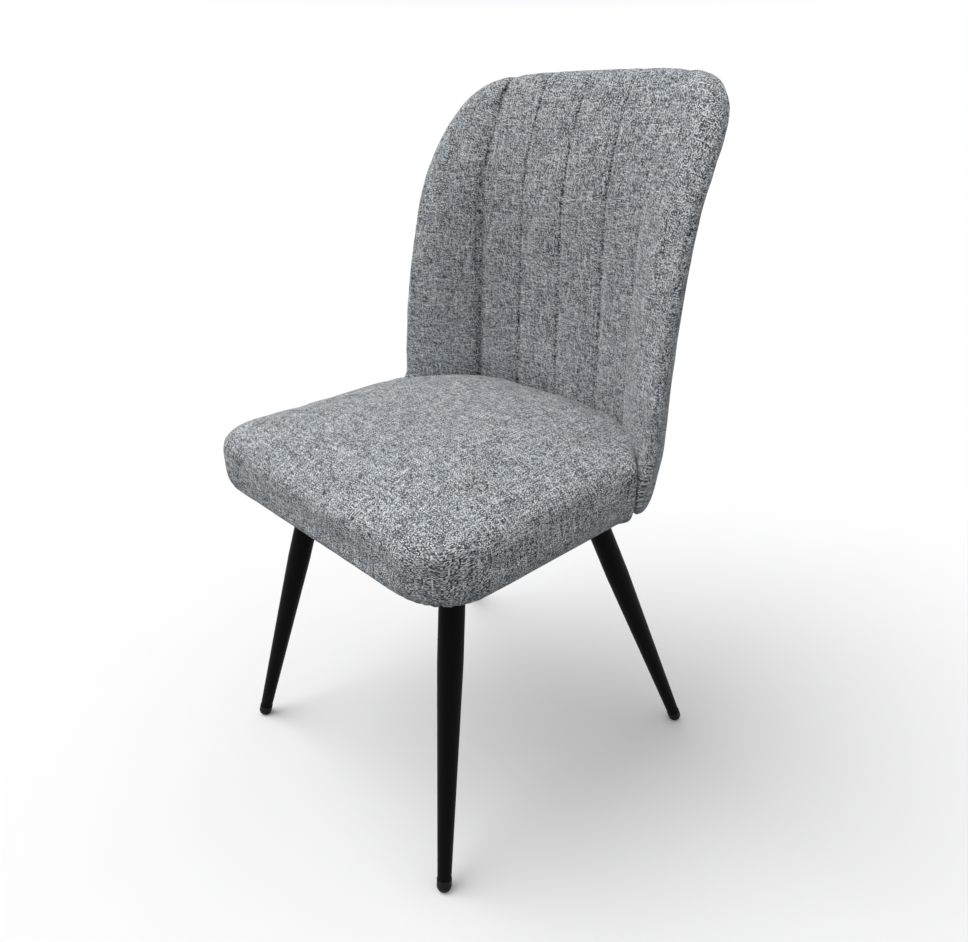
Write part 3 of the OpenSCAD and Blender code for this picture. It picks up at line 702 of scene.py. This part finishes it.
def seat_cushion():
    rings = [seat_ring(52, UNDER_Z + 12), seat_ring(52, UNDER_Z)]
    for a in np.radians(np.linspace(90, 0, 9)):
        rings.append(seat_ring(BOTTOM_R - (BOTTOM_R + OUTWARD) * math.cos(a),
                               UNDER_Z + BOTTOM_R - BOTTOM_R * math.sin(a)))
    for a in np.radians(np.linspace(0, 90, 9)):
        rings.append(seat_ring(TOP_R - (TOP_R + OUTWARD) * math.cos(a),
                               SEAT_EDGE_Z - TOP_R + (TOP_R + OUTWARD * 0.5) * math.sin(a)))
    for share in (0.97, 0.93, 0.87, 0.8, 0.72, 0.62, 0.5, 0.36, 0.2, 0.06):
        rings.append(seat_crown_ring(share) + [0, 0, OUTWARD * 0.5])
    o = stacked_rings("seat_cushion", rings)
    even_out(o, VOXEL, 4)
    p = coordinates(o)
    held = 1 - smoothstep(UNDER_Z + 2, UNDER_Z + 12, p[:, 2])
    inside, _, out = seat_place(p)
    near_rear = smoothstep(0.1, 0.4, out[:, 1]) * (1 - smoothstep(8, 24, inside))
    rear = near_rear * (1 - smoothstep(470, 500, p[:, 2]))
    inflate(o, np.maximum(held, rear), SEAT_PRESSURE, SEAT_MOST)
    subdivide(o)
    corner = np.array([SEAT_HALF_W - CORNER_R, SEAT_FRONT_Y + CORNER_R])
    for side in (-1, 1):
        at = (side * corner[0], corner[1], 0)
        near = (side * (corner[0] + 48), corner[1] - 48, 445, 62)
        for offset in (-2.6, -1.1, 0, 1.1, 2.6):
            direction = Vector((1, side, 0)).normalized()
            place = Vector(at) + direction * offset
            cut_plane(o, tuple(place), tuple(direction), near)
    o.data.update()
    p, n = coordinates(o), normals(o)
    low = 1 - smoothstep(SEAT_EDGE_Z - 24, SEAT_EDGE_Z - 4, p[:, 2])
    depth = np.zeros(len(p))
    for side in (-1, 1):
        rel = p[:, :2] - [side * corner[0], corner[1]]
        off = (rel[:, 0] * 1 + rel[:, 1] * side) / math.sqrt(2)
        outward = (rel[:, 0] * side - rel[:, 1]) > 0
        by_seam = outward * low
        depth -= by_seam * 1.7 * np.exp(-(off / 1.5) ** 2)
        depth += by_seam * 0.7 * np.exp(-((np.abs(off) - 6) / 4.0) ** 2)
        gather = np.exp(-(off / 42) ** 2) * (1 - smoothstep(UNDER_Z + 16, UNDER_Z + 42, p[:, 2]))
        angle = np.arctan2(off, 68)
        depth += outward * gather * 0.4 * np.sin(off / 1.55 + 1.2 * np.sin(angle * 5) + side)
    soft = smoothstep(UNDER_Z + 2, UNDER_Z + 20, p[:, 2])
    depth += soft * (0.7 * wobble(p, 120, 5) + 0.28 * wobble(p, 38, 6))
    p = p + n * depth[:, None]
    set_coordinates(o, p)
    weave_map(o, seat_threads)
    shade_smooth(o)
    return o


def seat_place(p):
    """How far each point lies inside the seat's outline, with the outline's nearest point and normal."""
    from_xy, from_n = seat_outline(900)
    nearest = np.zeros(len(p), int)
    for i in range(0, len(p), 4000):
        d = ((p[i:i + 4000, None, :2] - from_xy[None]) ** 2).sum(2)
        nearest[i:i + 4000] = d.argmin(1)
    q, n = from_xy[nearest], from_n[nearest]
    return -((p[:, :2] - q) * n).sum(1), q, n


def seat_threads(p, corner_vertex, centre, corner_face):
    inset, q, n = seat_place(p)
    edge_z = SEAT_EDGE_Z + seat_rise(p[:, 1], SEAT_EDGE_Z)
    top_angle = np.arctan2(np.maximum(0, TOP_R - inset), np.maximum(1e-3, p[:, 2] - (edge_z - TOP_R)))
    on_top = p[:, 2] > edge_z - TOP_R
    quarter = TOP_R * math.pi / 2
    down = quarter + (edge_z - TOP_R - p[:, 2])
    low_start = UNDER_Z + BOTTOM_R
    low_angle = np.arctan2(np.maximum(0, low_start - p[:, 2]), np.maximum(1e-3, BOTTOM_R - inset))
    under = quarter + (edge_z - TOP_R - low_start) + BOTTOM_R * low_angle + np.maximum(0, inset - BOTTOM_R)
    drop = np.where(on_top, TOP_R * top_angle, np.where(p[:, 2] < low_start, under, down))
    drop = np.where(on_top & (inset > TOP_R), 0, drop)
    base = np.where((on_top & (inset > TOP_R))[:, None], p[:, :2], q - n * TOP_R)
    _, _, face_n = seat_place(centre)
    n_face = face_n[corner_face]
    sideways = np.abs(n_face[:, 0]) > np.abs(n_face[:, 1])
    direction = np.where(sideways[:, None], np.stack([np.sign(n_face[:, 0]), 0 * n_face[:, 0]], 1),
                         np.stack([0 * n_face[:, 1], np.sign(n_face[:, 1])], 1))
    return base[corner_vertex] + direction * drop[corner_vertex][:, None]


cushion = seat_cushion()
clothe(cushion, FABRIC)
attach(cushion, "root")
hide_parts("seat_cover", "seat_foam")

# ------------------------------------------------------------------ back pads

CHANNEL_LOW = 76.5
CHANNEL_TAPER = 0.009
CHANNEL_DEPTH, CHANNEL_SPREAD = 2.9, 1.4
CHANNEL_DIP, DIP_SPREAD = 0.8, 6.0
CHANNEL_FULLNESS = 1.2
BOLSTER_H = 10.0
BOLSTER_PEAK = 0.38
BACK_PRESSURE = 5.0
BACK_MOST = 5.0
FRONT_R = HALF_T + SEAM_BACK
REAR_R_BACK = HALF_T - SEAM_BACK


def seam_x(k, z):
    return k * (CHANNEL_LOW - CHANNEL_TAPER * (z - LEAN_Z))


def section_heights():
    low = BASE_Z + LOW_R * (1 - np.cos(np.linspace(0.12, math.pi / 2, 9)))
    middle = np.linspace(BASE_Z + LOW_R, CORNER_Z, 40)[1:-1]
    top = CORNER_Z + CORNER_H * np.sin(np.linspace(0, math.pi / 2 - 0.035, 40))
    return np.r_[low, middle, top]


def back_solid(name, front_of, rear_of):
    s = np.sin(np.linspace(-math.pi / 2, math.pi / 2, 91))
    rings = []
    for z in section_heights():
        x = s * half_w(z)
        zz = np.full_like(x, z)
        rings.append(np.vstack([on_back(x, zz, front_of(x, zz)), on_back(x, zz, rear_of(x, zz))[::-1]]))
    return stacked_rings(name, rings)


def front_face(x, z):
    s = seam_h(z)
    share = roll(combined(side_d(x, z) / FRONT_R, low_d(x, z) / FRONT_R))
    return s + 0.4 + (HALF_T - s - 0.4) * share


def rear_face(x, z):
    s = seam_h(z)
    share = roll(combined(side_d(x, z) / REAR_R_BACK, low_d(x, z) / LOW_ROLL_H))
    return s - 0.4 - (HALF_T + s - 0.4) * share


def rim_way(x, z, h):
    """Distance over the surface from the rim's edge: below 0 in front of it, above 0 behind."""
    z = np.minimum(z, top_z(x, z) - 0.02)
    away = combined(np.abs(across(half_w(z), z) - np.abs(across(x, z))), top_z(x, z) - z)
    away = combined(away, low_d(x, z))
    rise = h - seam_h(z)
    return -np.sign(rise) * np.hypot(away, rise)


def seam_way(z):
    """Where the seam between the covers lies. Low down it runs on the outside of the wing."""
    return 14.0 * (1 - smoothstep(452, 502, z)) * smoothstep(404, 424, z)


def back_threads(p, corner_vertex, centre, corner_face):
    """Map along the threads of the back. Over the rim it follows the fabric round the roll."""
    x, z, h = off_back(p)
    z = np.minimum(z, top_z(x, z) - 0.02)
    fx, fz, fh = off_back(centre)
    on_front = (rim_way(fx, fz, fh) < seam_way(fz))[corner_face]
    d = edge_d(x, z)
    e = 0.6
    gx = edge_d(x + e, z) - edge_d(x - e, z)
    gz = edge_d(x, z + e) - edge_d(x, z - e)
    length = np.maximum(1e-6, np.hypot(gx, gz))
    s = seam_h(z)
    maps = []
    for facing, roll_r in ((1, FRONT_R), (-1, REAR_R_BACK)):
        lift = np.clip((h - s) * facing / np.maximum(1.0, HALF_T - s * facing), -1, 1)
        angle = np.where(d < roll_r, np.arccos(lift), 0)
        extra = roll_r * (angle - np.sin(np.minimum(angle, math.pi / 2)))
        maps.append(np.stack([across(x, z) - gx / length * extra, z - gz / length * extra], 1))
    return np.where(on_front[:, None], maps[0][corner_vertex], maps[1][corner_vertex] + [513.0, 0])


def back_cushion():
    o = back_solid("back_cushion", front_face, rear_face)
    even_out(o, VOXEL, 3)
    p = coordinates(o)
    x, z, h = off_back(p)
    on_front = h > seam_h(z)
    held = np.zeros(len(p))
    for k in range(-2, 3):
        held = np.maximum(held, on_front * (1 - smoothstep(2.5, 7.0, np.abs(x - seam_x(k, z)))))
    way = rim_way(x, z, h)
    held = np.maximum(held, 1 - smoothstep(3.0, 9.0, np.abs(way - seam_way(z))))
    held = np.maximum(held, 0.5 * ~on_front)
    inflate(o, held, BACK_PRESSURE, BACK_MOST)
    subdivide(o)
    for k in range(-2, 3):
        low, high = seam_x(k, 405.0), seam_x(k, 905.0)
        for offset in (-7.0, -3.4, -1.4, 0.0, 1.4, 3.4, 7.0):
            cut_plane(o, (low + offset, 0, 405.0), (1, 0, -(high - low) / 500.0))
    p, n = coordinates(o), normals(o)
    x, z, h = off_back(p)
    front = smoothstep(-1.0, 7.0, h - seam_h(z))
    edge = np.maximum(0.0, edge_d(x, np.minimum(z, top_z(x, z) - 0.02)))
    inside = smoothstep(4.0, 26.0, edge)
    depth = np.zeros(len(p))
    for k in range(-2, 3):
        off = x - seam_x(k, z)
        pucker = 1 + 0.08 * np.sin(z / 2.6 + k)
        groove = CHANNEL_DEPTH * np.exp(-(off / CHANNEL_SPREAD) ** 2)
        groove = groove + CHANNEL_DIP * np.exp(-(off / DIP_SPREAD) ** 2)
        depth -= groove * (0.6 + 0.4 * inside) * pucker
    width = CHANNEL_LOW - CHANNEL_TAPER * (z - LEAN_Z)
    between_seams = np.abs((np.abs(x) / width) % 1.0 - 0.5) * 2
    depth += np.where(np.abs(x) < 2 * width, CHANNEL_FULLNESS * (1 - between_seams**2) * inside, 0)
    beyond = np.clip((np.abs(x) - 2 * width) / (side_w(z) - 2 * width), 0, 1)
    # The padding beyond the outer seams swells steeply and then eases off towards the rim.
    rise = np.sqrt(1 - (1 - np.minimum(1, beyond / BOLSTER_PEAK)) ** 2)
    fall = np.cos(np.clip((beyond - BOLSTER_PEAK) / (1 - BOLSTER_PEAK), 0, 1) * math.pi / 2) ** 0.8
    depth += BOLSTER_H * rise * fall * (0.25 + 0.75 * inside)
    depth += 0.45 * wobble(p, 90, 11) * inside
    depth *= front
    depth += (1 - front) * 0.5 * wobble(p, 140, 21) * inside + 0.18 * wobble(p, 32, 12)
    off = rim_way(x, z, h) - seam_way(z)
    pucker = 1 + 0.1 * np.sin((z + 1.3 * np.abs(x)) / 1.9)
    firm = 0.35 + 0.65 * smoothstep(470, 520, z)
    depth -= 1.1 * firm * np.exp(-(off / 1.7) ** 2) * pucker
    depth += 0.6 * firm * np.exp(-((np.abs(off) - 5.0) / 3.0) ** 2)
    set_coordinates(o, p + n * depth[:, None])
    weave_map(o, back_threads)
    shade_smooth(o)
    return o


back = back_cushion()
clothe(back, FABRIC)
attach(back, "root")
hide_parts("back_front_cover", "back_front_foam", "back_rear_cover", "back_rear_wadding")

# ------------------------------------------------------------------ sewing thread

def rim_line(spacing):
    """Places round the rim, from one bottom corner over the top to the other, with outward directions."""
    z = np.r_[BASE_Z + LOW_R * (1 - np.cos(np.linspace(0.5, math.pi / 2, 12))),
              np.linspace(BASE_Z + LOW_R, CORNER_Z, 60)[1:-1],
              CORNER_Z + CORNER_H * np.sin(np.linspace(0, math.pi / 2, 120))]
    half = np.stack([half_w(z), z], 1)
    line = np.vstack([half, half[::-1] * [-1, 1]])
    length = np.r_[0, np.cumsum(np.linalg.norm(np.diff(line, axis=0), axis=1))]
    s = np.arange(2.0, length[-1] - 2.0, spacing)
    p = np.stack([np.interp(s, length, line[:, i]) for i in (0, 1)], 1)
    t = np.gradient(p, axis=0)
    t /= np.linalg.norm(t, axis=1)[:, None]
    return p, np.stack([t[:, 1], -t[:, 0]], 1)


def place_by_rim(line, out, way):
    """Points on the back at the given distances from the rim's edge."""
    low, high = np.full(len(line), 0.02), np.full(len(line), 30.0)
    for _ in range(24):
        middle = (low + high) / 2
        q = line - out * middle[:, None]
        h = np.where(way < 0, front_face(q[:, 0], q[:, 1]), rear_face(q[:, 0], q[:, 1]))
        short = np.abs(rim_way(q[:, 0], q[:, 1], h)) < np.abs(way)
        low, high = np.where(short, middle, low), np.where(short, high, middle)
    return on_back(q[:, 0], q[:, 1], h)


def stitches(name, path, cushion_object, length, thickness, lift):
    """Short stitches along a path, laid on a cushion's surface."""
    tree_of = cushion_object.closest_point_on_mesh
    laid, normal = [], []
    for q in path:
        ok, at, n, _ = tree_of(Vector(q) * MM)
        laid.append(np.array(at) / MM + np.array(n) * lift)
        normal.append(np.array(n))
    laid, normal = np.array(laid), np.array(normal)
    along = np.gradient(laid, axis=0)
    along /= np.linalg.norm(along, axis=1)[:, None]
    sideways = np.cross(normal, along)
    points, faces = [], []
    profile = [(-0.5, 0.35, -0.6), (-0.38, 0.85, 0.1), (0.0, 1.0, 0.45), (0.38, 0.85, 0.1), (0.5, 0.35, -0.6)]
    sides = 8
    for c, a, b, n in zip(laid, along, sideways, normal):
        first = len(points)
        for share, width, rise in profile:
            for i in range(sides):
                t = 2 * math.pi * i / sides
                points.append(c + a * share * length + b * math.cos(t) * thickness * width / 2
                              + n * (math.sin(t) * thickness * width / 2 + rise * thickness / 2))
        for j in range(len(profile) - 1):
            for i in range(sides):
                k = (i + 1) % sides
                faces.append((first + j * sides + i, first + j * sides + k,
                              first + (j + 1) * sides + k, first + (j + 1) * sides + i))
        faces.append(tuple(first + i for i in range(sides - 1, -1, -1)))
        faces.append(tuple(first + (len(profile) - 1) * sides + i for i in range(sides)))
    o = mesh_object(name, np.array(points), faces)
    shade_smooth(o)
    clothe(o, SEWING)
    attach(o, "root")
    return o


bpy.context.view_layer.update()
line, out = rim_line(4.6)
stitches("rim_stitches", place_by_rim(line, out, seam_way(line[:, 1]) - 3.6), back, 3.1, 0.75, 0.05)

# ------------------------------------------------------------------ floor, camera and light

FLOOR_R = 30
floor_mesh = bpy.data.meshes.new("floor")
turns = np.radians(np.arange(0, 360, 5))
floor_mesh.from_pydata([(FLOOR_R * math.cos(a), FLOOR_R * math.sin(a), 0) for a in turns], [],
                       [tuple(range(len(turns)))])
floor = bpy.data.objects.new("floor", floor_mesh)
bpy.context.scene.collection.objects.link(floor)
pale = Nodes("pale_floor")
cloud = pale.noise(object_position(pale), 3.0)
pale.set(Base_Color=pale.mix(cloud, (0.90, 0.90, 0.90, 1), (0.93, 0.93, 0.93, 1)),
         Roughness=0.9, Specular_IOR_Level=0.1)
clothe(floor, pale.material)
floor.visible_diffuse = False

AZIMUTH, ELEVATION, ROLL = math.radians(46.198), math.radians(25.566), math.radians(0.126)
TARGET = Vector((-0.05750, 0.11479, 0.33463))
DISTANCE = 1.2364
FOCAL_LENGTH = 29.37198
SHIFT_X = -0.0133368
SHIFT_Y = 0.0192665
backward = Vector((math.sin(AZIMUTH) * math.cos(ELEVATION),
                   -math.cos(AZIMUTH) * math.cos(ELEVATION),
                   math.sin(ELEVATION)))
level = Vector((0, 0, 1)).cross(backward).normalized()
upward = backward.cross(level)
right = math.cos(ROLL) * level + math.sin(ROLL) * upward
above = -math.sin(ROLL) * level + math.cos(ROLL) * upward
lens = bpy.data.cameras.new("camera")
lens.sensor_width = 36.0
lens.lens = FOCAL_LENGTH
lens.shift_x = SHIFT_X
lens.shift_y = SHIFT_Y
lens.clip_start = 0.05
camera = bpy.data.objects.new("camera", lens)
bpy.context.scene.collection.objects.link(camera)
turn = Matrix((right, above, backward)).transposed().to_4x4()
camera.matrix_world = Matrix.Translation(TARGET + backward * DISTANCE) @ turn
bpy.context.scene.camera = camera


key = bpy.data.lights.new("key", "SUN")
key.energy = 1.85
key.angle = math.radians(55)
key_object = bpy.data.objects.new("key", key)
bpy.context.scene.collection.objects.link(key_object)
key_object.rotation_euler = Vector((0.50, 0.43, -1.0)).to_track_quat("-Z", "Y").to_euler()

world = bpy.data.worlds.new("studio")
bpy.context.scene.world = world
world.use_nodes = True
tree = world.node_tree
tree.nodes.clear()
coords = tree.nodes.new("ShaderNodeTexCoord")
split = tree.nodes.new("ShaderNodeSeparateXYZ")
spread = tree.nodes.new("ShaderNodeMapRange")
ramp = tree.nodes.new("ShaderNodeValToRGB")
sky = tree.nodes.new("ShaderNodeBackground")
out = tree.nodes.new("ShaderNodeOutputWorld")
tree.links.new(coords.outputs["Generated"], split.inputs[0])
tree.links.new(split.outputs[2], spread.inputs["Value"])
spread.inputs["From Min"].default_value = -1.0
spread.inputs["From Max"].default_value = 1.0
tree.links.new(spread.outputs[0], ramp.inputs[0])
tree.links.new(ramp.outputs[0], sky.inputs[0])
tree.links.new(sky.outputs[0], out.inputs[0])
stops = [(0.0, 0.10), (0.44, 0.16), (0.485, 1.0), (0.55, 1.0), (0.61, 0.45), (1.0, 0.72)]
while len(ramp.color_ramp.elements) < len(stops):
    ramp.color_ramp.elements.new(0.5)
for item, (at, value) in zip(ramp.color_ramp.elements, stops):
    item.position = at
    item.color = (value, value, value * 1.01, 1)
bpy.context.scene.view_settings.view_transform = "Standard"
